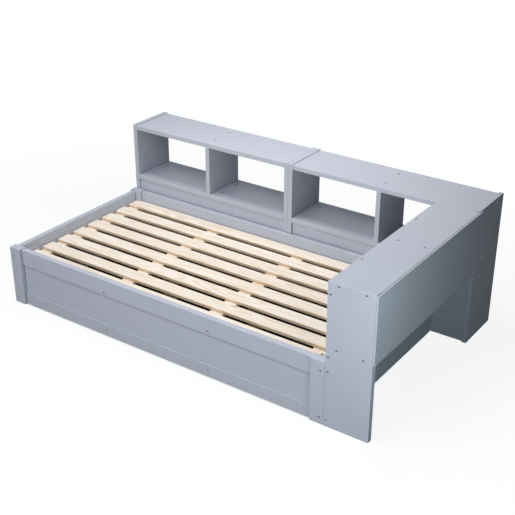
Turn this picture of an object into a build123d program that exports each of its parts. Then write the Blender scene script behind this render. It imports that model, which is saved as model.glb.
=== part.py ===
from build123d import *
import os
from collections import namedtuple

os.makedirs("parts", exist_ok=True)

# A storage daybed in millimetres. X runs along the bed, Y from its front to the bookcase behind it, Z up.
# The origin is on the floor, under the middle of the whole piece of furniture.

# Bed frame
BED_LENGTH = 2051.0
BED_WIDTH = 1053.0
BED_HEIGHT = 344.0
POST_WIDTH = 75.0
POST_DEPTH = 46.0
RAIL_THICKNESS = 30.0
RAIL_DROP = 5.0
FLOOR_GAP = 2.0
TOP_RAIL_HEIGHT = 94.0
BOTTOM_RAIL_HEIGHT = 69.0
INFILL_THICKNESS = 22.0
BACK_RAIL_HEIGHT = 160.0
END_RAIL_SET = 8.0
STILE_WIDTH = 75.0
STILE_THICKNESS = 20.0
LEDGE_DEPTH = 50.0
LEDGE_HEIGHT = 45.0

# Slatted deck
DECK_DROP = 58.0
SLAT_COUNT = 8
SLAT_WIDTH = 82.0
SLAT_THICKNESS = 19.0
SLAT_EASE = 3.0
SLAT_FRONT_GAP = 27.0
SLAT_BACK_GAP = 7.0
SLAT_START_GAP = 5.0
SLAT_END_GAP = 65.0
NOTCH_CLEARANCE = 3.0
BATTEN_WIDTH = 75.0
BATTEN_THICKNESS = 19.0
BATTEN_END_GAP = 3.0
MIDDLE_BATTEN_PITCH = 594.0

# Bookcase behind the bed, and the storage unit across its right end
HEIGHT = 762.0
BOARD_THICKNESS = 27.0
REAR_DEPTH = 290.0
REAR_SET = 9.0
PANEL_PROUD = 4.0
PANEL_BACK_PROUD = 7.0
SHELF_UNDERSIDE = 410.0
LOWER_PANEL_SET = 9.0
LEG_WIDTH = 75.0
LEG_DEPTH = 75.0
LEG_BACK_SET = 29.0
CLEAT_THICKNESS = 30.0
CLEAT_HEIGHT = 67.0
CLEAT_LENGTH = 180.0
SIDE_DEPTH = 240.0
SIDE_BOARD_THICKNESS = 30.0
FACE_RAIL_HEIGHT = 70.0
APRON_THICKNESS = 9.0
APRON_DROP = 2.0
APRON_LIFT = 4.0
APRON_LAP = 16.0

# Screws: each bites into the second board behind the one that it holds
HEAD_DIAMETER = 14.0
HEAD_THICKNESS = 4.0
HEAD_SINK = 1.0
HEAD_BEVEL = 0.8
SHANK_DIAMETER = 6.0
SHANK_TIP = 3.0
SOCKET_SIZE = 5.0
SMALL_HEAD_DIAMETER = 8.0
SMALL_SHANK_DIAMETER = 4.0
SMALL_SOCKET_SIZE = 3.0
SOCKET_DEPTH = 2.0
SCREW_BITE = 25.0
STILE_BITE = 16.0
SCREW_EDGE = 35.0
LOWER_BOARD_SCREW_DROP = 46.0
STILE_SCREW_EDGE = 17.0
EXTRA_SCREW_RISE = 16.0
BOARD_SCREW_PITCH = 136.0
PANEL_SCREW_PITCH = 126.0
CLEAT_SCREW_RISE = 33.0
FOOT_SCREW_HEIGHT = 23.0
SHELF_SCREW_SET = 56.0
BOLT_RISE = 166.0
APRON_SCREW_RISE = 71.0
APRON_SCREW_DROP = 96.0
APRON_SCREW_END = 144.0
APRON_SCREW_COUNT = 5

# Eased edges
EASE = 1.5
THIN_EASE = 1.0

# Planes that several boards share
x_left = -(BED_LENGTH + SIDE_DEPTH + APRON_THICKNESS) / 2
x_bed = x_left + BED_LENGTH
x_side = x_bed + SIDE_DEPTH
y_front = -(BED_WIDTH + REAR_DEPTH + PANEL_BACK_PROUD) / 2
y_rear = y_front + BED_WIDTH
y_board_back = y_rear + REAR_DEPTH
rail_top = BED_HEIGHT - RAIL_DROP
deck_top = rail_top - DECK_DROP
slat_underside = deck_top - SLAT_THICKNESS
batten_underside = slat_underside - BATTEN_THICKNESS
shelf_top = SHELF_UNDERSIDE + BOARD_THICKNESS

Screw = namedtuple("Screw", "head shank socket length")
Fixing = namedtuple("Fixing", "seat screw")


def span(start, size):
    """The two ends of a stretch that starts at a plane"""
    return (start, start + size)


def back_from(end, size):
    """The two ends of a stretch that stops at a plane"""
    return (end - size, end)


def middle(stretch):
    return (stretch[0] + stretch[1]) / 2


def around(centre, size):
    """The two ends of a stretch with this middle"""
    return (centre - size / 2, centre + size / 2)


def fixings(points, outward, cover, bite=SCREW_BITE):
    """Screws whose heads sit at these points, on a face that looks outward"""
    screw = Screw(HEAD_DIAMETER, SHANK_DIAMETER, SOCKET_SIZE, cover + bite)
    return [Fixing(Plane(origin=point, z_dir=outward).location, screw) for point in points]


def small_fixings(points, outward, cover, bite=SCREW_BITE):
    """The same with small screws"""
    screw = Screw(SMALL_HEAD_DIAMETER, SMALL_SHANK_DIAMETER, SMALL_SOCKET_SIZE, cover + bite)
    return [Fixing(Plane(origin=point, z_dir=outward).location, screw) for point in points]


def by_screw(fixing_list):
    """Each kind of screw with the places of those that are of that kind"""
    kinds = sorted({fixing.screw for fixing in fixing_list})
    return {kind: [fixing.seat for fixing in fixing_list if fixing.screw == kind] for kind in kinds}


def drill(seats, cores):
    """Counterbores a board under its screw heads, and drills it where other screws bite into it"""
    for screw, places in by_screw(seats).items():
        with Locations(*places):
            CounterBoreHole(
                radius=screw.shank / 2,
                counter_bore_radius=screw.head / 2,
                counter_bore_depth=HEAD_SINK + HEAD_THICKNESS,
                depth=screw.length,
            )
    for screw, places in by_screw(cores).items():
        with Locations(*places):
            Hole(radius=screw.shank / 2, depth=screw.length)


def save(piece, label):
    piece.part.label = label
    export_step(piece.part, f"parts/{label}.step")


def board(label, x, y, z, ease=EASE, seats=(), cores=()):
    """A rectangular board with eased edges and its screw holes"""
    with BuildPart() as piece:
        with BuildSketch(Plane.XY.offset(z[0])):
            with Locations((middle(x), middle(y))):
                Rectangle(x[1] - x[0], y[1] - y[0])
        extrude(amount=z[1] - z[0])
        fillet(piece.edges(), radius=ease)
        drill(seats, cores)
    save(piece, label)


def one_screw(screw):
    """A screw that points down from the origin, with a bevelled head and a hexagon socket"""
    head_under = -(HEAD_SINK + HEAD_THICKNESS)
    outline = [
        (0, -HEAD_SINK),
        (screw.head / 2 - HEAD_BEVEL, -HEAD_SINK),
        (screw.head / 2, -HEAD_SINK - HEAD_BEVEL),
        (screw.head / 2, head_under),
        (screw.shank / 2, head_under),
        (screw.shank / 2, SHANK_TIP - screw.length),
        (0, -screw.length),
    ]
    with BuildPart() as piece:
        with BuildSketch(Plane.XZ):
            with BuildLine():
                Polyline(*outline, close=True)
            make_face()
        revolve(axis=Axis.Z)
        with BuildSketch(Plane.XY.offset(-HEAD_SINK)):
            RegularPolygon(radius=screw.socket / 2, side_count=6)
        extrude(amount=-SOCKET_DEPTH, mode=Mode.SUBTRACT)
    return piece.part


def screws(label, fixing_list):
    """A group of screws, each a solid of its own"""
    groups = by_screw(fixing_list)
    shapes = {screw: one_screw(screw) for screw in groups}
    with BuildPart() as group:
        for screw, places in groups.items():
            with Locations(*places):
                add(shapes[screw])
    save(group, label)


# Bed posts. Screws through each post hold the end rail behind it. The left end has a small one more.
post_x = {"left": span(x_left, POST_WIDTH), "right": back_from(x_bed, POST_WIDTH)}
post_y = {"front": span(y_front, POST_DEPTH), "rear": back_from(y_rear, POST_DEPTH)}
end_rail_x = {
    "left": span(x_left + END_RAIL_SET, RAIL_THICKNESS),
    "right": back_from(x_bed - END_RAIL_SET, RAIL_THICKNESS),
}
top_rail_z = back_from(rail_top, TOP_RAIL_HEIGHT)
bottom_rail_z = span(FLOOR_GAP, BOTTOM_RAIL_HEIGHT)
post_face = {"front": (y_front, (0, -1, 0)), "rear": (y_rear, (0, 1, 0))}
post_screw_heights = (middle(top_rail_z), middle(bottom_rail_z))
small_screw_height = middle(top_rail_z) + EXTRA_SCREW_RISE
end_rail_fixings = {"left": [], "right": []}
for row, (face_y, outward) in post_face.items():
    for side, rail_x in end_rail_x.items():
        screw_points = [(middle(rail_x), face_y, height) for height in post_screw_heights]
        post_fixings = fixings(screw_points, outward, POST_DEPTH)
        if side == "left":
            post_fixings += small_fixings([(middle(rail_x), face_y, small_screw_height)], outward, POST_DEPTH)
        end_rail_fixings[side] += post_fixings
        board(f"{row}_{side}_post", post_x[side], post_y[row], (0, BED_HEIGHT), seats=post_fixings)

# End rails, between the posts of each end
for side, rail_x in end_rail_x.items():
    end_rail_y = (post_y["front"][1], post_y["rear"][0])
    board(f"{side}_end_rail", rail_x, end_rail_y, (FLOOR_GAP, rail_top), cores=end_rail_fixings[side])

# Front of the bed: a top rail and a bottom rail with a thinner infill panel between them.
# Two upright stiles behind them tie the three together.
front_x = (post_x["left"][1], post_x["right"][0])
front_back_face = post_y["front"][1]
front_rail_y = back_from(front_back_face, RAIL_THICKNESS)
stile_centres = [x_left + BED_LENGTH * share / 3 for share in (1, 2)]
stile_screw_heights = (top_rail_z[0] + STILE_SCREW_EDGE, middle(bottom_rail_z))
stile_fixings = [
    fixings([(centre, front_rail_y[0], height) for centre in stile_centres], (0, -1, 0), RAIL_THICKNESS, STILE_BITE)
    for height in stile_screw_heights
]
board("front_top_rail", front_x, front_rail_y, top_rail_z, seats=stile_fixings[0])
board("front_bottom_rail", front_x, front_rail_y, bottom_rail_z, seats=stile_fixings[1])
board(
    "front_infill_panel",
    front_x,
    back_from(front_back_face, INFILL_THICKNESS),
    (bottom_rail_z[1], top_rail_z[0]),
    ease=THIN_EASE,
)
stile_y = span(front_back_face, STILE_THICKNESS)
for side, centre in zip(("left", "right"), stile_centres):
    own_screws = [pair[stile_centres.index(centre)] for pair in stile_fixings]
    board(f"front_{side}_stile", around(centre, STILE_WIDTH), stile_y, (FLOOR_GAP, deck_top), cores=own_screws)

# Back rail, flush with the rear faces of the rear posts
back_rail_y = back_from(y_rear, RAIL_THICKNESS)
board("back_rail", front_x, back_rail_y, back_from(rail_top, BACK_RAIL_HEIGHT))

# Ledges that carry the deck along the front and the back. The front one is housed over the stiles.
ledge_z = back_from(batten_underside, LEDGE_HEIGHT)
board("back_ledge", front_x, back_from(back_rail_y[0], LEDGE_DEPTH), ledge_z)
with BuildPart() as front_ledge:
    ledge_x = (end_rail_x["left"][1], end_rail_x["right"][0])
    ledge_y = span(front_back_face, LEDGE_DEPTH)
    with BuildSketch(Plane.XY.offset(ledge_z[0])):
        with Locations((middle(ledge_x), middle(ledge_y))):
            Rectangle(ledge_x[1] - ledge_x[0], ledge_y[1] - ledge_y[0])
    extrude(amount=LEDGE_HEIGHT)
    fillet(front_ledge.edges(), radius=EASE)
    with BuildSketch(Plane.XY.offset(ledge_z[0])):
        with Locations(*[(centre, middle(stile_y)) for centre in stile_centres]):
            Rectangle(STILE_WIDTH, STILE_THICKNESS)
    extrude(amount=LEDGE_HEIGHT, mode=Mode.SUBTRACT)
save(front_ledge, "front_ledge")

# Slats, evenly spread between the front rail and the back rail.
# The rearmost one is notched round the rear posts.
slat_x = (end_rail_x["left"][1] + SLAT_START_GAP, end_rail_x["right"][0] - SLAT_END_GAP)
first_slat = front_back_face + SLAT_FRONT_GAP
last_slat = back_rail_y[0] - SLAT_BACK_GAP - SLAT_WIDTH
slat_pitch = (last_slat - first_slat) / (SLAT_COUNT - 1)
for number in range(SLAT_COUNT):
    slat_y = span(first_slat + number * slat_pitch, SLAT_WIDTH)
    with BuildPart() as slat:
        with BuildSketch(Plane.XY.offset(slat_underside)):
            with Locations((middle(slat_x), middle(slat_y))):
                Rectangle(slat_x[1] - slat_x[0], SLAT_WIDTH)
        extrude(amount=SLAT_THICKNESS)
        fillet(slat.edges(), radius=SLAT_EASE)
        with BuildSketch(Plane.XY.offset(slat_underside)):
            with Locations(*[(middle(post), middle(post_y["rear"])) for post in post_x.values()]):
                Rectangle(POST_WIDTH + 2 * NOTCH_CLEARANCE, POST_DEPTH + 2 * NOTCH_CLEARANCE)
        extrude(amount=SLAT_THICKNESS, mode=Mode.SUBTRACT)
    save(slat, f"slat_{number + 1}")

# Battens across the underside of the slats, and a leg under each middle one
batten_y = (stile_y[1] + BATTEN_END_GAP, post_y["rear"][0] - BATTEN_END_GAP)
batten_centres = [
    slat_x[0] + BATTEN_WIDTH / 2,
    middle(slat_x) - MIDDLE_BATTEN_PITCH / 2,
    middle(slat_x) + MIDDLE_BATTEN_PITCH / 2,
    slat_x[1] - BATTEN_WIDTH / 2,
]
for number, centre in enumerate(batten_centres, start=1):
    board(f"batten_{number}", around(centre, BATTEN_WIDTH), batten_y, span(batten_underside, BATTEN_THICKNESS))
for side, centre in zip(("left", "right"), batten_centres[1:3]):
    centre_leg_y = around(middle(batten_y), POST_DEPTH)
    board(f"centre_{side}_leg", around(centre, POST_WIDTH), centre_leg_y, (0, batten_underside))

# Bookcase: two like units side by side, each with two end panels, a top, a shelf and a divider.
# Below the shelf a lower panel closes the front, and four pairs of legs carry the shelf.
unit_length = (x_side - x_left - REAR_SET) / 2
panel_y = (y_rear, y_board_back + PANEL_BACK_PROUD)
inner_y = (y_rear, y_board_back)
lower_panel_y = span(y_rear + LOWER_PANEL_SET, BOARD_THICKNESS)
front_leg_y = span(lower_panel_y[1], LEG_DEPTH)
back_leg_y = back_from(y_board_back - LEG_BACK_SET, LEG_DEPTH)
rear_top_z = back_from(HEIGHT - PANEL_PROUD, BOARD_THICKNESS)
leg_screw_heights = (FOOT_SCREW_HEIGHT, SHELF_UNDERSIDE - SCREW_EDGE)
top_screw_y = around(middle(panel_y), PANEL_SCREW_PITCH)
leg_centres_y = (middle(front_leg_y), middle(back_leg_y))
shelf_screw_y = (leg_centres_y[0], top_screw_y[1])
bolt_heights = (shelf_top + BOLT_RISE, SHELF_UNDERSIDE / 2)
unit_joint_x = x_left + REAR_SET + unit_length
joining_bolts = fixings(
    [(unit_joint_x + BOARD_THICKNESS, middle(inner_y), height) for height in bolt_heights],
    (1, 0, 0),
    BOARD_THICKNESS,
)
rear_fixings = []


def end_panel(label, x, outward, extra_seats=(), extra_cores=(), extra_heights=()):
    """One end panel of a bookcase unit. Gives back its screws into the top board, and into the legs."""
    outer_x = x[1] if outward > 0 else x[0]
    into_top = fixings([(outer_x, y, middle(rear_top_z)) for y in top_screw_y], (outward, 0, 0), BOARD_THICKNESS)
    into_legs = fixings(
        [(outer_x, y, height) for y in leg_centres_y for height in leg_screw_heights],
        (outward, 0, 0),
        BOARD_THICKNESS,
    )
    into_cleat = fixings(
        [(outer_x, y, height) for y in top_screw_y for height in extra_heights],
        (outward, 0, 0),
        BOARD_THICKNESS,
    )
    own = into_top + into_legs + into_cleat
    board(label, x, panel_y, (0, HEIGHT), seats=own + list(extra_seats), cores=extra_cores)
    rear_fixings.extend(own)
    return into_top, into_legs, into_cleat


def legs(label, centres_x, cores):
    """A front and a back leg under the shelf at each of these places, each leg a solid of its own"""
    with BuildPart() as group:
        with BuildSketch(Plane.XY):
            with Locations(*[(x, y) for x in centres_x for y in leg_centres_y]):
                Rectangle(LEG_WIDTH, LEG_DEPTH)
        extrude(amount=SHELF_UNDERSIDE)
        fillet(group.edges(), radius=EASE)
        drill((), cores)
    save(group, label)


for number, side in enumerate(("left", "right")):
    unit_x = span(x_left + REAR_SET + number * unit_length, unit_length)
    left_panel_x = span(unit_x[0], BOARD_THICKNESS)
    right_panel_x = back_from(unit_x[1], BOARD_THICKNESS)
    inner_x = (left_panel_x[1], right_panel_x[0])
    divider_x = around(middle(unit_x), BOARD_THICKNESS)
    cleat_heights = (shelf_top + CLEAT_SCREW_RISE,) if side == "right" else ()
    bolt_seats = joining_bolts if side == "right" else ()
    bolt_cores = joining_bolts if side == "left" else ()
    left_screws = end_panel(f"rear_{side}_unit_left_panel", left_panel_x, -1, extra_seats=bolt_seats)
    right_screws = end_panel(
        f"rear_{side}_unit_right_panel",
        right_panel_x,
        1,
        extra_cores=bolt_cores,
        extra_heights=cleat_heights,
    )
    divider_screws = fixings([(middle(divider_x), y, rear_top_z[1]) for y in leg_centres_y], (0, 0, 1), BOARD_THICKNESS)
    shelf_screws = {
        "left": [inner_x[0] + SHELF_SCREW_SET],
        "middle": [middle(divider_x) - SHELF_SCREW_SET, middle(divider_x) + SHELF_SCREW_SET],
        "right": [inner_x[1] - SHELF_SCREW_SET],
    }
    into_shelf = {
        place: fixings([(x, y, shelf_top) for x in columns for y in shelf_screw_y], (0, 0, 1), BOARD_THICKNESS)
        for place, columns in shelf_screws.items()
    }
    rear_fixings += divider_screws + into_shelf["left"] + into_shelf["middle"] + into_shelf["right"]
    board(
        f"rear_{side}_unit_top",
        inner_x,
        inner_y,
        rear_top_z,
        seats=divider_screws,
        cores=left_screws[0] + right_screws[0],
    )
    board(
        f"rear_{side}_unit_shelf",
        inner_x,
        inner_y,
        (SHELF_UNDERSIDE, shelf_top),
        seats=into_shelf["left"] + into_shelf["middle"] + into_shelf["right"],
    )
    board(f"rear_{side}_unit_divider", divider_x, inner_y, (shelf_top, rear_top_z[0]), cores=divider_screws)
    board(f"rear_{side}_unit_lower_panel", inner_x, lower_panel_y, (0, SHELF_UNDERSIDE))
    end_leg_x = {"left": inner_x[0] + LEG_WIDTH / 2, "right": inner_x[1] - LEG_WIDTH / 2}
    legs(f"rear_{side}_unit_left_legs", [end_leg_x["left"]], left_screws[1] + into_shelf["left"])
    legs(f"rear_{side}_unit_middle_legs", shelf_screws["middle"], into_shelf["middle"])
    legs(f"rear_{side}_unit_right_legs", [end_leg_x["right"]], right_screws[1] + into_shelf["right"])

# A cleat on the shelf, hidden in the corner bay behind the side unit
board(
    "corner_cleat",
    back_from(inner_x[1], CLEAT_THICKNESS),
    around(middle(inner_y), CLEAT_LENGTH),
    span(shelf_top, CLEAT_HEIGHT),
    cores=right_screws[2],
)

# Side unit: a tall front panel, a lower board and a lower rail against the bed, and a box above them.
# The box opens towards the bed, under two short face rails, and a thin apron closes its outer side.
side_x = (x_bed, x_side)
side_inner_x = span(x_bed, SIDE_BOARD_THICKNESS)
side_front_y = span(y_front, SIDE_BOARD_THICKNESS)
side_y = (side_front_y[1], y_rear)
side_top_z = back_from(HEIGHT - APRON_DROP, BOARD_THICKNESS)
face_rail_z = back_from(side_top_z[0], FACE_RAIL_HEIGHT)
lower_rail_z = (BED_HEIGHT, SHELF_UNDERSIDE)
side_bottom_z = (SHELF_UNDERSIDE, shelf_top)
apron_x = span(x_side, APRON_THICKNESS)
apron_y = (y_front, y_rear + APRON_LAP)
apron_z = (SHELF_UNDERSIDE + APRON_LIFT, HEIGHT - APRON_DROP)
side_divider_y = around(middle(apron_y), BOARD_THICKNESS)
board_screw_x = around(middle((x_bed, apron_x[1])), BOARD_SCREW_PITCH)
rail_screw_x = middle(side_inner_x)


def front_screws(columns, heights):
    """Screws through the face of the front panel"""
    return fixings([(x, y_front, z) for x in columns for z in heights], (0, -1, 0), SIDE_BOARD_THICKNESS)


into_side_top = front_screws(board_screw_x, [middle(side_top_z)])
into_side_bottom = front_screws(board_screw_x, [middle(side_bottom_z)])
into_face_rail = front_screws([rail_screw_x], [middle(face_rail_z)])
into_lower_rail = front_screws([rail_screw_x], [middle(lower_rail_z)])
into_lower_board = front_screws([rail_screw_x], [SCREW_EDGE, BED_HEIGHT - LOWER_BOARD_SCREW_DROP])
face_rail_y = {
    "front": (side_y[0], side_divider_y[0]),
    "rear": (side_divider_y[1], side_y[1]),
}
rail_screw_y = {"front": middle((apron_y[0], middle(apron_y))), "rear": middle((middle(apron_y), apron_y[1]))}
top_into_rails = {
    row: fixings([(rail_screw_x, screw_y, side_top_z[1])], (0, 0, 1), BOARD_THICKNESS)
    for row, screw_y in rail_screw_y.items()
}
top_into_divider = fixings(
    [(x, middle(side_divider_y), side_top_z[1]) for x in board_screw_x],
    (0, 0, 1),
    BOARD_THICKNESS,
)
apron_screw_heights = (apron_z[0] + APRON_SCREW_RISE, apron_z[1] - APRON_SCREW_DROP)
apron_into_panel = small_fixings(
    [(apron_x[1], middle(side_front_y), height) for height in apron_screw_heights],
    (1, 0, 0),
    APRON_THICKNESS,
)
apron_screw_pitch = (apron_y[1] - apron_y[0] - 2 * APRON_SCREW_END) / (APRON_SCREW_COUNT - 1)
apron_screw_y = [apron_y[0] + APRON_SCREW_END + number * apron_screw_pitch for number in range(APRON_SCREW_COUNT)]
apron_into_boards = {
    place: small_fixings([(apron_x[1], y, middle(board_z)) for y in apron_screw_y], (1, 0, 0), APRON_THICKNESS)
    for place, board_z in (("top", side_top_z), ("bottom", side_bottom_z))
}
apron_screws = apron_into_panel + apron_into_boards["top"] + apron_into_boards["bottom"]
front_panel_screws = into_side_top + into_side_bottom + into_face_rail + into_lower_rail + into_lower_board
top_screws = top_into_rails["front"] + top_into_rails["rear"] + top_into_divider
board("side_front_panel", side_x, side_front_y, (0, HEIGHT), seats=front_panel_screws, cores=apron_into_panel)
board("side_lower_board", side_inner_x, side_y, (0, BED_HEIGHT), cores=into_lower_board)
board("side_lower_rail", side_inner_x, side_y, lower_rail_z, cores=into_lower_rail)
board("side_bottom_board", side_x, side_y, side_bottom_z, cores=into_side_bottom + apron_into_boards["bottom"])
board("side_divider", side_x, side_divider_y, (shelf_top, side_top_z[0]), cores=top_into_divider)
top_cores = into_side_top + apron_into_boards["top"]
board("side_top_board", side_x, side_y, side_top_z, seats=top_screws, cores=top_cores)
rail_ends = {"front": into_face_rail, "rear": []}
for row, stretch in face_rail_y.items():
    board(f"side_{row}_face_rail", side_inner_x, stretch, face_rail_z, cores=rail_ends[row] + top_into_rails[row])
board("side_apron", apron_x, apron_y, apron_z, ease=THIN_EASE, seats=apron_screws)

# Fasteners, grouped by what they hold
screws("bed_frame_screws", end_rail_fixings["left"] + end_rail_fixings["right"] + stile_fixings[0] + stile_fixings[1])
screws("side_unit_screws", front_panel_screws + top_screws + apron_screws)
screws("bookcase_screws", rear_fixings)
screws("unit_joining_bolts", joining_bolts)
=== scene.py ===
# %% [markdown]
# # A storage daybed, dressed for its portrait
#
# The daybed is flat-pack furniture: a slatted bed frame, a low bookcase behind it and a storage unit across
# its right end. Its boards are painted and held by screws. Only the deck and the hidden framing are bare pine.
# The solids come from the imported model, so this script gives them light and finishes and a camera.

# %% Load the model
import math

import bpy
from mathutils import Matrix, Vector


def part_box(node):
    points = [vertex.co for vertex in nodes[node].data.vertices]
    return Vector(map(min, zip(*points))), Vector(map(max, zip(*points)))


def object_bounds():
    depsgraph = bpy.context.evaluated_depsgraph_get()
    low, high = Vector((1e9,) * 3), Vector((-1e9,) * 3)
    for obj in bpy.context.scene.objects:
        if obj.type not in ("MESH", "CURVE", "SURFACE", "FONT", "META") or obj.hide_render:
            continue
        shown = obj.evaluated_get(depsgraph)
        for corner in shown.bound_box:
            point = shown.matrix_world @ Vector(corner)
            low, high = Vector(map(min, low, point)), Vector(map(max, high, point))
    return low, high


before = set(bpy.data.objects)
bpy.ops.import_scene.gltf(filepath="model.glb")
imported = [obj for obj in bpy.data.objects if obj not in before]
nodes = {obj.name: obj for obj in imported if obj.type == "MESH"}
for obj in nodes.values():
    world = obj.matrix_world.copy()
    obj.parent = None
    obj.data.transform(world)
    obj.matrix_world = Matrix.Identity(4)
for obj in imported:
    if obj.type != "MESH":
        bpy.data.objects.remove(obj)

cad_low, cad_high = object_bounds()
size = cad_high - cad_low
print("loaded", len(nodes), "nodes, size", [round(side, 3) for side in size])

# %% [markdown]
# ## Camera
#
# The portrait is taken from the right front corner, well above head height, with a long lens.
# A place and three angles are enough to set it. The angles turn the camera in the order in which a person
# would aim a tripod: round its column, then down, then a hair out of level.

# %% Camera
CAMERA_PLACE = (2.816, -3.943, 2.774)
CAMERA_AZIMUTH = math.radians(34.98)
CAMERA_ELEVATION = math.radians(26.734)
CAMERA_ROLL = math.radians(0.133)
SENSOR_WIDTH = 36
FRAME_WIDTH_PIXELS = 515
FOCAL_LENGTH_PIXELS = 993.2

camera_data = bpy.data.cameras.new("portrait_camera")
camera_data.sensor_width = SENSOR_WIDTH
camera_data.lens = FOCAL_LENGTH_PIXELS / FRAME_WIDTH_PIXELS * SENSOR_WIDTH
camera = bpy.data.objects.new("portrait_camera", camera_data)
bpy.context.scene.collection.objects.link(camera)
aim = Matrix.Rotation(CAMERA_AZIMUTH, 4, "Z") @ Matrix.Rotation(math.pi / 2 - CAMERA_ELEVATION, 4, "X")
camera.matrix_world = Matrix.Translation(CAMERA_PLACE) @ aim @ Matrix.Rotation(CAMERA_ROLL, 4, "Z")
bpy.context.scene.camera = camera
bpy.context.scene.view_settings.view_transform = "Standard"
print("camera lens", round(camera_data.lens, 2), "mm")

# %% [markdown]
# ## Node helpers
#
# Every finish below is a small graph of nodes. These helpers keep the graphs short. A value may be a constant
# or another node's socket, and feed tells the two apart, so the others needn't. More helpers follow where
# they are first needed.

# %% Helpers for shader graphs


def feed(tree, socket, value):
    """Links another node's socket to this one, or sets a constant on it"""
    if isinstance(value, bpy.types.NodeSocket):
        tree.links.new(value, socket)
    else:
        socket.default_value = value


def add_node(tree, kind, sockets=None, **settings):
    """A node with its settings and the values of its sockets, by name or number"""
    node = tree.nodes.new(kind)
    for name, value in settings.items():
        setattr(node, name, value)
    for name, value in (sockets or {}).items():
        feed(tree, node.inputs[name], value)
    return node


def calculate(tree, operation, *values, clamp=False):
    """The result of one Math node"""
    node = add_node(tree, "ShaderNodeMath", dict(enumerate(values)), operation=operation, use_clamp=clamp)
    return node.outputs[0]


def calculate_vector(tree, operation, *values):
    """The outputs of one Vector Math node: Vector, and Value where the result is a number"""
    return add_node(tree, "ShaderNodeVectorMath", dict(enumerate(values)), operation=operation).outputs


def remap(tree, value, low, high, to_low=0.0, to_high=1.0):
    """The value brought from one range to another, and held inside it"""
    sockets = {"Value": value, "From Min": low, "From Max": high, "To Min": to_low, "To Max": to_high}
    return add_node(tree, "ShaderNodeMapRange", sockets).outputs["Result"]


print("helpers for numbers and vectors ready")

# %% [markdown]
# ## Colours
#
# Colours are written as they look on a screen, from 0 to 255, because that is how a paint chart gives them.
# Shaders count light instead, so the values are turned into linear shares first.

# %% Helpers for colours
COLOUR_FIRST, COLOUR_SECOND, COLOUR_RESULT = 6, 7, 2


def linear(value):
    """A screen value as the linear share of light that shaders take"""
    share = value / 255
    if share <= 0.04045:
        return share / 12.92
    return ((share + 0.055) / 1.055) ** 2.4


def colour(red, green, blue):
    """An opaque colour, from three screen values"""
    return (linear(red), linear(green), linear(blue), 1.0)


def blend(tree, amount, first, second, way="MIX"):
    """Two colours mixed. The Mix node has sockets for each kind of data, and those for colours go by number."""
    sockets = {"Factor": amount, COLOUR_FIRST: first, COLOUR_SECOND: second}
    return add_node(tree, "ShaderNodeMix", sockets, data_type="RGBA", blend_type=way).outputs[COLOUR_RESULT]


WHITE = colour(255, 255, 255)
print("helpers for colours ready")

# %% [markdown]
# ## Floor and background
#
# The portrait has a white background. A big pale disc is the floor, so that the bed stands on something and
# keeps its soft shadow. A glow that only the camera and reflections see lifts the floor to white round the
# bed. Under the bed the floor is coloured near black instead, a painted shade that keeps the gaps between the
# slats dark. Far out the glow takes over, so the floor's edge is lost in the white world. All of this goes by
# the distance from the bed frame's outline, drawn in a little.

# %% Floor
FLOOR_RADIUS = 14.0
FLOOR_SIDES = 96
FLOOR_GREY = colour(98, 100, 104)
# Painted shade: the floor under the bed is coloured near black, so the gaps between the slats stay dark.
FLOOR_PAINTED_SHADE = colour(34, 34, 36)
SHADE_INSET = 0.025
GLOW_START = 0.02
GLOW_NEAR = 0.88
WHITE_START = 0.5
WHITE_END = 2.0

bpy.ops.object.select_all(action="DESELECT")
bpy.ops.mesh.primitive_circle_add(
    vertices=FLOOR_SIDES, radius=FLOOR_RADIUS, fill_type="NGON", location=(0, 0, 0)
)
floor = bpy.context.object
floor.name = "studio_floor"
print("floor radius", FLOOR_RADIUS)

# %% Helpers for materials


def seen_directly(tree):
    """1 for a ray that comes from the camera, a reflection or a refraction, and 0 for lighting"""
    path = tree.nodes.new("ShaderNodeLightPath").outputs
    seen = calculate(tree, "MAXIMUM", path["Is Camera Ray"], path["Is Glossy Ray"])
    return calculate(tree, "MAXIMUM", seen, path["Is Transmission Ray"])


def new_material(name):
    """A material with an empty graph. Gives back the material, its tree and its output's Surface socket."""
    material = bpy.data.materials.new(name)
    material.use_nodes = True
    tree = material.node_tree
    tree.nodes.clear()
    return material, tree, tree.nodes.new("ShaderNodeOutputMaterial").inputs["Surface"]


def object_place(tree):
    """The point on the piece, in metres from the middle of the floor"""
    return tree.nodes.new("ShaderNodeTexCoord").outputs["Object"]


print("helpers for materials ready")

# %% Material: floor
bed_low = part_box("front_left_post")[0]
bed_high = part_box("rear_right_post")[1]
bed_middle = (bed_low + bed_high) / 2
bed_half = (bed_high - bed_low) / 2 - Vector((SHADE_INSET, SHADE_INSET, 0))

floor_finish, tree, surface = new_material("studio_floor")
from_middle = calculate_vector(tree, "SUBTRACT", object_place(tree), (bed_middle.x, bed_middle.y, 0))["Vector"]
one_quarter = calculate_vector(tree, "ABSOLUTE", from_middle)["Vector"]
outside = calculate_vector(tree, "SUBTRACT", one_quarter, (bed_half.x, bed_half.y, 0))["Vector"]
beyond = calculate_vector(tree, "MAXIMUM", outside, (0, 0, 0))["Vector"]
distance = calculate_vector(tree, "LENGTH", beyond)["Value"]

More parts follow.
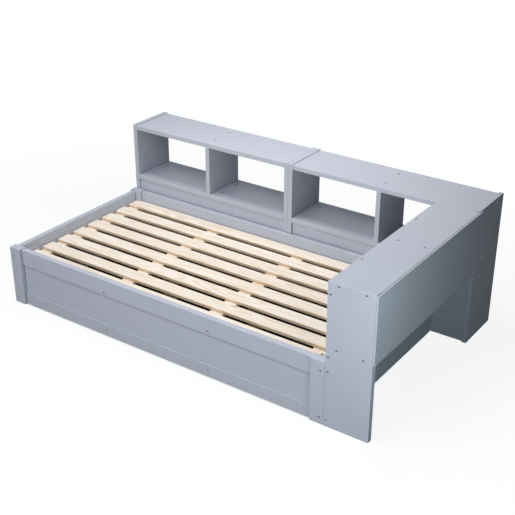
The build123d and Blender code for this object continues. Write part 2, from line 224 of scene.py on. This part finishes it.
open_share = remap(tree, distance, 0.0, GLOW_START)
matt = add_node(tree, "ShaderNodeBsdfDiffuse", {"Color": blend(tree, open_share, FLOOR_PAINTED_SHADE, FLOOR_GREY)})
near_strength = calculate(tree, "MULTIPLY", open_share, GLOW_NEAR)
near_glow = add_node(tree, "ShaderNodeEmission", {"Color": WHITE, "Strength": near_strength})
far_glow = add_node(tree, "ShaderNodeEmission", {"Color": WHITE, "Strength": 1.0})
near = add_node(tree, "ShaderNodeAddShader", {0: matt.outputs[0], 1: near_glow.outputs[0]})
far_share = remap(tree, distance, WHITE_START, WHITE_END)
shown = add_node(tree, "ShaderNodeMixShader", {0: far_share, 1: near.outputs[0], 2: far_glow.outputs[0]})
choice = add_node(tree, "ShaderNodeMixShader", {0: seen_directly(tree), 1: matt.outputs[0], 2: shown.outputs[0]})
feed(tree, surface, choice.outputs[0])
floor.data.materials.append(floor_finish)
print("material", floor_finish.name)

# %% World
WORLD_LIGHT = colour(208, 214, 224)
WORLD_STRENGTH = 0.01

world = bpy.data.worlds.new("studio_world")
bpy.context.scene.world = world
world.use_nodes = True
tree = world.node_tree
tree.nodes.clear()
dim = add_node(tree, "ShaderNodeBackground", {"Color": WORLD_LIGHT, "Strength": WORLD_STRENGTH})
white = add_node(tree, "ShaderNodeBackground", {"Color": WHITE, "Strength": 1.0})
choice = add_node(tree, "ShaderNodeMixShader", {0: seen_directly(tree), 1: dim.outputs[0], 2: white.outputs[0]})
add_node(tree, "ShaderNodeOutputWorld", {"Surface": choice.outputs[0]})
print("world strength", WORLD_STRENGTH)

# %% [markdown]
# ## Light
#
# The tops are the lightest faces, the fronts come next, and the faces that look right fall off from grey near
# the camera to nearly black at the back. So three wide soft lamps hang overhead, two low ones reach into the
# bays, and a small weak one stands off the right front corner, close enough to fade along the bed. A last
# one stands low behind the left end. It lights only faces that the portrait doesn't show, so that the daybed
# also reads from behind.

# %% Lamps
NEUTRAL = (1.0, 1.0, 1.0)
WARM = (1.0, 0.96, 0.94)
COOL = (0.98, 1.0, 1.0)
BLUISH = (0.98, 0.99, 1.0)
TEAL = (0.86, 1.0, 1.0)


def softbox(name, place, target, width, height, power, tint):
    """A rectangular area lamp at a place, which faces a target"""
    data = bpy.data.lights.new(name, "AREA")
    data.shape = "RECTANGLE"
    data.size = width
    data.size_y = height
    data.energy = power
    data.color = tint
    lamp = bpy.data.objects.new(name, data)
    bpy.context.scene.collection.objects.link(lamp)
    lamp.location = place
    lamp.rotation_euler = (Vector(target) - Vector(place)).to_track_quat("-Z", "Y").to_euler()
    print("lamp", name, power, "W")


softbox("overhead_lamp", (0.05, 0.4, 2.6), (0.05, 0.4, 0), 1.2, 0.8, 28, WARM)
softbox("overhead_left_lamp", (-1.8, -0.6, 3.0), (0, 0, 0.3), 1.6, 1.6, 28, COOL)
softbox("overhead_front_lamp", (0, -2.2, 3.2), (0, 0, 0.3), 2.6, 1.6, 60, BLUISH)
softbox("low_right_lamp", (0.75, -3.2, 0.7), (0.5, 0, 0.2), 0.9, 1.0, 19, NEUTRAL)
softbox("low_left_lamp", (-1.3, -3.2, 0.7), (-0.4, 0, 0.2), 1.6, 1.0, 18, NEUTRAL)
softbox("corner_lamp", (1.95, -1.25, 1.0), (1.1, -0.35, 0.35), 0.6, 0.6, 8.5, TEAL)
softbox("rear_lamp", (-2.6, 3.8, 0.7), (0, 0.4, 0.4), 2.0, 1.0, 30, NEUTRAL)

# %% [markdown]
# ## Groups
#
# An effect that several materials use is a node group: it is built once, and each material places it with
# values of its own. A group needs named sockets on both sides before its inner nodes can be linked.

# %% Helpers for groups
FLOAT, VECTOR, COLOUR = "NodeSocketFloat", "NodeSocketVector", "NodeSocketColor"


def new_group(name, inputs, outputs):
    """An empty shader group. Gives back its tree, the sockets that come in and those that leave."""
    tree = bpy.data.node_groups.new(name, "ShaderNodeTree")
    for direction, sockets in (("INPUT", inputs), ("OUTPUT", outputs)):
        for socket_name, kind in sockets.items():
            tree.interface.new_socket(socket_name, in_out=direction, socket_type=kind)
    entry = tree.nodes.new("NodeGroupInput")
    leave = tree.nodes.new("NodeGroupOutput")
    return tree, entry.outputs, leave.inputs


def place_group(tree, group, sockets):
    """The group placed in a material, with this material's own values. Gives back its outputs."""
    return add_node(tree, "ShaderNodeGroup", sockets, node_tree=group).outputs


print("helpers for groups ready")

# %% [markdown]
# ## Eased edges
#
# The boards' edges are sanded round before they are painted, and the paint lies thinner there. The materials
# lighten the edges with this mask, partly for the thinner paint and partly as a painted highlight of the light
# that the rounded edges catch. A bevel node compares the surface's own direction with that of a rounded copy
# of it, and the difference is a mask of the edges. It is a group, because the paint and the pine both use it.

# %% Group: eased edges
MASK_SAMPLES = 6
AGREEMENT_ON_FACE = 0.98
AGREEMENT_ON_EDGE = 0.80

edge_group, inside, leave = new_group("eased_edges", {"Width": FLOAT, "Strength": FLOAT}, {"Mask": FLOAT})
rounded = add_node(edge_group, "ShaderNodeBevel", {"Radius": inside["Width"]}, samples=MASK_SAMPLES)
flat = edge_group.nodes.new("ShaderNodeNewGeometry").outputs["True Normal"]
agreement = calculate_vector(edge_group, "DOT_PRODUCT", rounded.outputs["Normal"], flat)["Value"]
on_edge = remap(edge_group, agreement, AGREEMENT_ON_FACE, AGREEMENT_ON_EDGE)
feed(edge_group, leave["Mask"], calculate(edge_group, "MULTIPLY", on_edge, inside["Strength"], clamp=True))
print("group", edge_group.name)

# %% [markdown]
# ## Painted shade in the joints
#
# Where two boards meet, their eased edges leave a fine groove, and inner corners are just as closed in. Little
# light reaches such places, so the materials paint shade into their colour there. A short ambient occlusion
# finds them: it measures how closely other surfaces stand round a point. Faces that look up catch too much
# light for that, so they get no painted shade.

# %% Group: painted joint shade
OPENNESS_OF_FACE = 0.97
OPENNESS_OF_JOINT = 0.6
UPWARD_SHADED = 0.5
UPWARD_UNSHADED = 0.9


def split_axes(tree, vector):
    """The X, Y and Z of a vector, by name"""
    return add_node(tree, "ShaderNodeSeparateXYZ", {0: vector}).outputs


def surface_direction(tree):
    """The direction in which the surface faces"""
    return tree.nodes.new("ShaderNodeNewGeometry").outputs["Normal"]


joint_shade_group, inside, leave = new_group("painted_joint_shade", {"Reach": FLOAT, "Depth": FLOAT}, {"Mask": FLOAT})
around = add_node(joint_shade_group, "ShaderNodeAmbientOcclusion", {"Distance": inside["Reach"]}, samples=MASK_SAMPLES)
shut_in = remap(joint_shade_group, around.outputs["AO"], OPENNESS_OF_FACE, OPENNESS_OF_JOINT)
upward = split_axes(joint_shade_group, surface_direction(joint_shade_group))["Z"]
shade_share = remap(joint_shade_group, upward, UPWARD_SHADED, UPWARD_UNSHADED, 1.0, 0.0)
darkened = calculate(joint_shade_group, "MULTIPLY", shut_in, shade_share)
feed(joint_shade_group, leave["Mask"], calculate(joint_shade_group, "MULTIPLY", darkened, inside["Depth"], clamp=True))
print("group", joint_shade_group.name)

# %% [markdown]
# ## Seams in the top of the side unit
#
# The side unit's top board lies flush with the bookcase's top and with the apron, so only a hairline shows
# where they meet, dark with shade. The group paints that shade as a dark line, by the distance to the board's
# back and outer edges.

# %% Group: top seams
JUST_BELOW_TOP = 0.002
AT_TOP = 0.001
BESIDE_UNIT = 0.002


def apart(tree, first, second):
    """How far two numbers lie apart"""
    return calculate(tree, "ABSOLUTE", calculate(tree, "SUBTRACT", first, second))


side_low, side_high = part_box("side_top_board")
seam_group, inside, leave = new_group("top_seams", {"Vector": VECTOR, "Width": FLOAT}, {"Mask": FLOAT})
axes = split_axes(seam_group, inside["Vector"])
to_back = apart(seam_group, axes["Y"], side_high.y)
to_side = apart(seam_group, axes["X"], side_high.x)
share = calculate(seam_group, "DIVIDE", calculate(seam_group, "MINIMUM", to_back, to_side), inside["Width"])
line = calculate(seam_group, "SUBTRACT", 1.0, share, clamp=True)
on_top = remap(seam_group, axes["Z"], side_high.z - JUST_BELOW_TOP, side_high.z - AT_TOP)
on_unit = remap(seam_group, axes["X"], side_low.x - BESIDE_UNIT, side_low.x)
drawn = calculate(seam_group, "MULTIPLY", line, calculate(seam_group, "MULTIPLY", on_top, on_unit))
feed(seam_group, leave["Mask"], drawn)
print("group", seam_group.name)

# %% [markdown]
# ## Patterns
#
# Wood has no repeating picture, so its patterns are noise. Noise that is stretched along the grain gives
# streaks and fibres, and noise that isn't gives clouds and mottling. Noise seldom strays far from its middle,
# so what lies between a low and a high value is spread over the whole effect.

# %% Helpers for patterns
NOISE_RANGE = (0.3, 0.7)


def stretch(tree, vector, factors):
    """The vector times a factor along each axis: a small factor draws a pattern out along that axis"""
    return calculate_vector(tree, "MULTIPLY", vector, factors)["Vector"]


def noise(tree, vector, scale=1.0, detail=3.0, roughness=0.55, distortion=0.0):
    """The value of a noise texture, from 0 to 1"""
    sockets = {
        "Vector": vector,
        "Scale": scale,
        "Detail": detail,
        "Roughness": roughness,
        "Distortion": distortion,
    }
    return add_node(tree, "ShaderNodeTexNoise", sockets).outputs["Fac"]


print("helpers for patterns ready")

# %% [markdown]
# ## Painted wood
#
# The paint is a thin coat over softwood board. The wood still shows through it: faint long streaks along each
# board and a fine mottling from the roller. The group expects the grain along X, and each material turns its
# board's coordinates so that they run that way.

# %% Group: painted grain
STREAK_STRETCH = (7, 120, 120)
MOTTLING_SCALE = 110.0
CLOUD_SCALE = 4.0
CLOUD_STRENGTH = 0.5
MOTTLING_RELIEF = 0.5
PAINT_ROUGHNESS = (0.46, 0.60)


def swing(tree, value, strength):
    """A value from 0 to 1 made to swing about 0, times a strength"""
    return calculate(tree, "MULTIPLY", calculate(tree, "SUBTRACT", value, 0.5), strength)


paint_group, inside, leave = new_group(
    "painted_grain",
    {"Vector": VECTOR, "Paint": COLOUR, "Thin": COLOUR, "Streaks": FLOAT, "Mottling": FLOAT},
    {"Colour": COLOUR, "Roughness": FLOAT, "Height": FLOAT},
)
along_grain = stretch(paint_group, inside["Vector"], STREAK_STRETCH)
streaks = noise(paint_group, along_grain, detail=4.0, roughness=0.6, distortion=0.3)
mottling = noise(paint_group, inside["Vector"], MOTTLING_SCALE, detail=4.0, roughness=0.65)
clouds = noise(paint_group, inside["Vector"], CLOUD_SCALE, detail=2.0)

streak_part = swing(paint_group, streaks, inside["Streaks"])
mottling_part = swing(paint_group, mottling, inside["Mottling"])
cloud_part = swing(paint_group, clouds, CLOUD_STRENGTH)
total = calculate(paint_group, "ADD", calculate(paint_group, "ADD", streak_part, mottling_part), cloud_part)
thinness = calculate(paint_group, "ADD", total, 0.5, clamp=True)
relief = calculate(paint_group, "ADD", streaks, calculate(paint_group, "MULTIPLY", mottling, MOTTLING_RELIEF))

feed(paint_group, leave["Colour"], blend(paint_group, thinness, inside["Paint"], inside["Thin"]))
feed(paint_group, leave["Roughness"], remap(paint_group, mottling, *NOISE_RANGE, *PAINT_ROUGHNESS))
feed(paint_group, leave["Height"], relief)
print("group", paint_group.name)

# %% Materials: paint along each axis
PAINT = colour(178, 184, 197)
PAINT_THIN = colour(190, 195, 207)
PAINT_EDGE_HIGHLIGHT = colour(218, 222, 231)
PAINT_JOINT_SHADE = colour(84, 90, 102)
PAINT_RELIEF = 0.00008
PAINT_RELIEF_STRENGTH = 0.5
PAINT_SPECULAR = 0.05
STREAKS = 0.55
MOTTLING = 0.9
PAINT_EDGES = {"Width": 0.004, "Strength": 0.9}
PAINT_JOINT_SHADING = {"Reach": 0.0035, "Depth": 0.9}
SEAM_WIDTH = 0.003
TURNS = {"X": (0, 0, 0), "Y": (0, 0, math.pi / 2), "Z": (0, math.pi / 2, 0)}


def turn_grain(tree, place, axis):
    """The point on the piece, turned so that the piece's grain runs along X"""
    return add_node(tree, "ShaderNodeMapping", {"Vector": place, "Rotation": TURNS[axis]}).outputs[0]


def painted(axis):
    """Painted wood whose grain runs along this axis"""
    material, tree, surface = new_material(f"painted_wood_{axis.lower()}")
    place = object_place(tree)
    coat = place_group(
        tree,
        paint_group,
        {
            "Vector": turn_grain(tree, place, axis),
            "Paint": PAINT,
            "Thin": PAINT_THIN,
            "Streaks": STREAKS,
            "Mottling": MOTTLING,
        },
    )
    edge = place_group(tree, edge_group, PAINT_EDGES)
    # Painted shade: joints and inner corners are darkened towards the joint colour.
    joint_shade = place_group(tree, joint_shade_group, PAINT_JOINT_SHADING)
    # The top seams are painted shade as well, in the same dark colour as the joints.
    seam = place_group(tree, seam_group, {"Vector": place, "Width": SEAM_WIDTH})
    dark = calculate(tree, "MAXIMUM", joint_shade["Mask"], seam["Mask"])
    # The eased edges are lightened, partly for thinner paint and partly as a painted highlight.
    highlit_edges = blend(tree, edge["Mask"], coat["Colour"], PAINT_EDGE_HIGHLIGHT)
    bump = add_node(
        tree,
        "ShaderNodeBump",
        {"Height": coat["Height"], "Distance": PAINT_RELIEF, "Strength": PAINT_RELIEF_STRENGTH},
    )
    shader = add_node(
        tree,
        "ShaderNodeBsdfPrincipled",
        {
            "Base Color": blend(tree, dark, highlit_edges, PAINT_JOINT_SHADE),
            "Roughness": coat["Roughness"],
            "Normal": bump.outputs[0],
            "Specular IOR Level": PAINT_SPECULAR,
        },
    )
    feed(tree, surface, shader.outputs[0])
    return material


paint = {axis: painted(axis) for axis in TURNS}
print("paint materials", [material.name for material in paint.values()])

# %% [markdown]
# ## Bare pine
#
# Slats, battens and the hidden framing are sawn and planed pine. A plain-sawn board shows the growth rings as
# long lines that bend into arches, here waves across the board that a slow noise pushes sideways. Small knots
# and a fine fibre finish it.

# %% Group: pine grain
RING_DENSITY = 95.0
RING_BEND_STRETCH = (1.3, 9, 9)
RING_BEND = 34.0
RING_SHARPNESS = 2.5
RING_STRENGTH = (0.15, 0.6)
RING_CLOUD_STRETCH = (1.6, 11, 11)
FIBRE_STRETCH = (14, 420, 420)
FIBRE_RANGE = (0.35, 0.75)
FIBRE_STRENGTH = (0.0, 0.22)
KNOT_STRETCH = (2.4, 9, 9)
KNOT_RIM = 0.09
KNOT_HEART = 0.05
PINE_ROUGHNESS = (0.55, 0.72)

pine_group, inside, leave = new_group(
    "pine_grain",
    {"Vector": VECTOR, "Pale": COLOUR, "Ring": COLOUR, "Knot": COLOUR},
    {"Colour": COLOUR, "Roughness": FLOAT, "Height": FLOAT},
)
axes = split_axes(pine_group, inside["Vector"])
bend = noise(pine_group, stretch(pine_group, inside["Vector"], RING_BEND_STRETCH), detail=2.0, roughness=0.5)
across = calculate(pine_group, "ADD", calculate(pine_group, "MULTIPLY", axes["Y"], RING_DENSITY), axes["Z"])
phase = calculate(pine_group, "ADD", across, calculate(pine_group, "MULTIPLY", bend, RING_BEND))
wave = calculate(pine_group, "ABSOLUTE", calculate(pine_group, "SINE", phase))
rings = calculate(pine_group, "POWER", wave, RING_SHARPNESS)
fibre = noise(pine_group, stretch(pine_group, inside["Vector"], FIBRE_STRETCH), detail=4.0, roughness=0.6)
clouds = noise(pine_group, stretch(pine_group, inside["Vector"], RING_CLOUD_STRETCH), detail=2.0)

ring_strength = remap(pine_group, clouds, *NOISE_RANGE, *RING_STRENGTH)
ring_share = calculate(pine_group, "MULTIPLY", rings, ring_strength)
fibre_share = remap(pine_group, fibre, *FIBRE_RANGE, *FIBRE_STRENGTH)
grain = calculate(pine_group, "ADD", ring_share, fibre_share, clamp=True)
wood = blend(pine_group, grain, inside["Pale"], inside["Ring"])

knot_place = stretch(pine_group, inside["Vector"], KNOT_STRETCH)
knot_cells = add_node(pine_group, "ShaderNodeTexVoronoi", {"Vector": knot_place, "Scale": 1.0})
knots = remap(pine_group, knot_cells.outputs["Distance"], KNOT_RIM, KNOT_HEART)

feed(pine_group, leave["Colour"], blend(pine_group, knots, wood, inside["Knot"]))
feed(pine_group, leave["Roughness"], remap(pine_group, fibre, *NOISE_RANGE, *PINE_ROUGHNESS))
feed(pine_group, leave["Height"], calculate(pine_group, "ADD", fibre, rings))
print("group", pine_group.name)

# %% [markdown]
# ## One pattern for each slat
#
# No two slats come from the same place in the log. The slats lie at an even pitch, so a point's row number
# names its slat, and a random shift for each number gives the slat a stretch of the pattern and a tone of its
# own. The narrow faces between slats are sawn and not planed, so they are rougher in colour. Upright faces are
# also tinted and darkened, partly for the sawn wood and partly as painted shade for the shadow between slats.

# %% Materials: pine along each axis
PINE_PALE = colour(246, 238, 229)
PINE_RING = colour(220, 200, 171)
PINE_KNOT = colour(158, 118, 80)
PINE_EDGE_HIGHLIGHT = colour(240, 230, 214)
PINE_AGED = colour(222, 196, 158)
PINE_SAWN_AND_SHADE = colour(252, 226, 184)
PINE_SAWN_AND_SHADE_STRENGTH = 0.6
PINE_SHADE = colour(96, 66, 38)
PINE_RELIEF = 0.00015
PINE_RELIEF_STRENGTH = 0.6
PINE_SPECULAR = 0.12
PINE_EDGES = {"Width": 0.004, "Strength": 0.35}
PINE_JOINT_SHADING = {"Reach": 0.005, "Depth": 0.2}
SLAT_SHIFT = (37, 11, 23)
LEAST_FRESHNESS = 0.90
UPRIGHT_PLANED = 0.75
UPRIGHT_SAWN = 0.15

slat_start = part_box("slat_1")[0].y
slat_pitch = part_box("slat_2")[0].y - slat_start


def pine(axis):
    """Bare pine whose grain runs along this axis, with a pattern of its own in each row of slats"""
    material, tree, surface = new_material(f"bare_pine_{axis.lower()}")
    turned = turn_grain(tree, object_place(tree), axis)
    from_start = calculate(tree, "SUBTRACT", split_axes(tree, turned)["Y"], slat_start)
    row = calculate(tree, "FLOOR", calculate(tree, "DIVIDE", from_start, slat_pitch))
    chance = add_node(tree, "ShaderNodeTexWhiteNoise", {"W": row}, noise_dimensions="1D").outputs
    own_place = calculate_vector(tree, "ADD", turned, stretch(tree, chance["Color"], SLAT_SHIFT))["Vector"]
    wood = place_group(
        tree, pine_group, {"Vector": own_place, "Pale": PINE_PALE, "Ring": PINE_RING, "Knot": PINE_KNOT}
    )
    freshness = remap(tree, chance["Value"], 0, 1, LEAST_FRESHNESS, 1.0)
    toned = blend(tree, freshness, PINE_AGED, wood["Colour"])

    # Upright faces are tinted and darkened, partly for the sawn wood and partly as painted shade.
    upright = calculate(tree, "ABSOLUTE", split_axes(tree, surface_direction(tree))["Z"])
    sawn_and_shade_share = remap(tree, upright, UPRIGHT_PLANED, UPRIGHT_SAWN)
    sawn_and_shaded = blend(tree, PINE_SAWN_AND_SHADE_STRENGTH, toned, PINE_SAWN_AND_SHADE, "MULTIPLY")
    planed = blend(tree, sawn_and_shade_share, toned, sawn_and_shaded)
    # A painted highlight lightens the pine's eased edges.
    edge = place_group(tree, edge_group, PINE_EDGES)
    # Painted shade darkens the pine's joints and inner corners.
    joint_shade = place_group(tree, joint_shade_group, PINE_JOINT_SHADING)
    highlit_edges = blend(tree, edge["Mask"], planed, PINE_EDGE_HIGHLIGHT)
    bump = add_node(
        tree,
        "ShaderNodeBump",
        {"Height": wood["Height"], "Distance": PINE_RELIEF, "Strength": PINE_RELIEF_STRENGTH},
    )
    shader = add_node(
        tree,
        "ShaderNodeBsdfPrincipled",
        {
            "Base Color": blend(tree, joint_shade["Mask"], highlit_edges, PINE_SHADE),
            "Roughness": wood["Roughness"],
            "Normal": bump.outputs[0],
            "Specular IOR Level": PINE_SPECULAR,
        },
    )
    feed(tree, surface, shader.outputs[0])
    return material


pines = {axis: pine(axis) for axis in TURNS}
print("pine materials", [material.name for material in pines.values()])

# %% [markdown]
# ## Screws
#
# The heads are dark zinc-plated steel, flat, with a hexagon socket. Metal shows its surroundings, so the same
# head looks dark on a lit board and light on a shaded one. Fine scratches vary its roughness.

# %% Material: screw steel
STEEL_DARK = colour(108, 114, 122)
STEEL_LIGHT = colour(138, 144, 152)
STEEL_ROUGHNESS = (0.32, 0.5)
SCRATCH_SCALE = 900.0
PATCH_SCALE = 240.0

steel, tree, surface = new_material("screw_steel")
place = object_place(tree)
scratches = noise(tree, place, SCRATCH_SCALE)
patches = noise(tree, place, PATCH_SCALE, detail=2.0)
shader = add_node(
    tree,
    "ShaderNodeBsdfPrincipled",
    {
        "Base Color": blend(tree, patches, STEEL_DARK, STEEL_LIGHT),
        "Metallic": 1.0,
        "Roughness": remap(tree, scratches, *NOISE_RANGE, *STEEL_ROUGHNESS),
    },
)
feed(tree, surface, shader.outputs[0])
print("material", steel.name)

# %% [markdown]
# ## Dressing the boards
#
# A board's grain runs along its longest side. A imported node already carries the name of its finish, and its
# own box says which way it lies, so each board finds its material by itself. The legs that share a node are
# higher than they stand apart, so the rule holds for them too.

# %% Assign the finishes


def longest_axis(name):
    """The axis along which a node is longest"""
    low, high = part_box(name)
    sides = high - low
    return "XYZ"[max(range(3), key=lambda number: sides[number])]


finish_of = {name: piece.data.materials[0].name for name, piece in nodes.items()}
for name, piece in nodes.items():
    axis = longest_axis(name)
    material_of = {"painted_wood": paint[axis], "bare_pine": pines[axis], "screw_steel": steel}
    piece.data.materials[0] = material_of[finish_of[name]]
finishes = list(finish_of.values())
print("finishes", {kind: finishes.count(kind) for kind in sorted(set(finishes))})
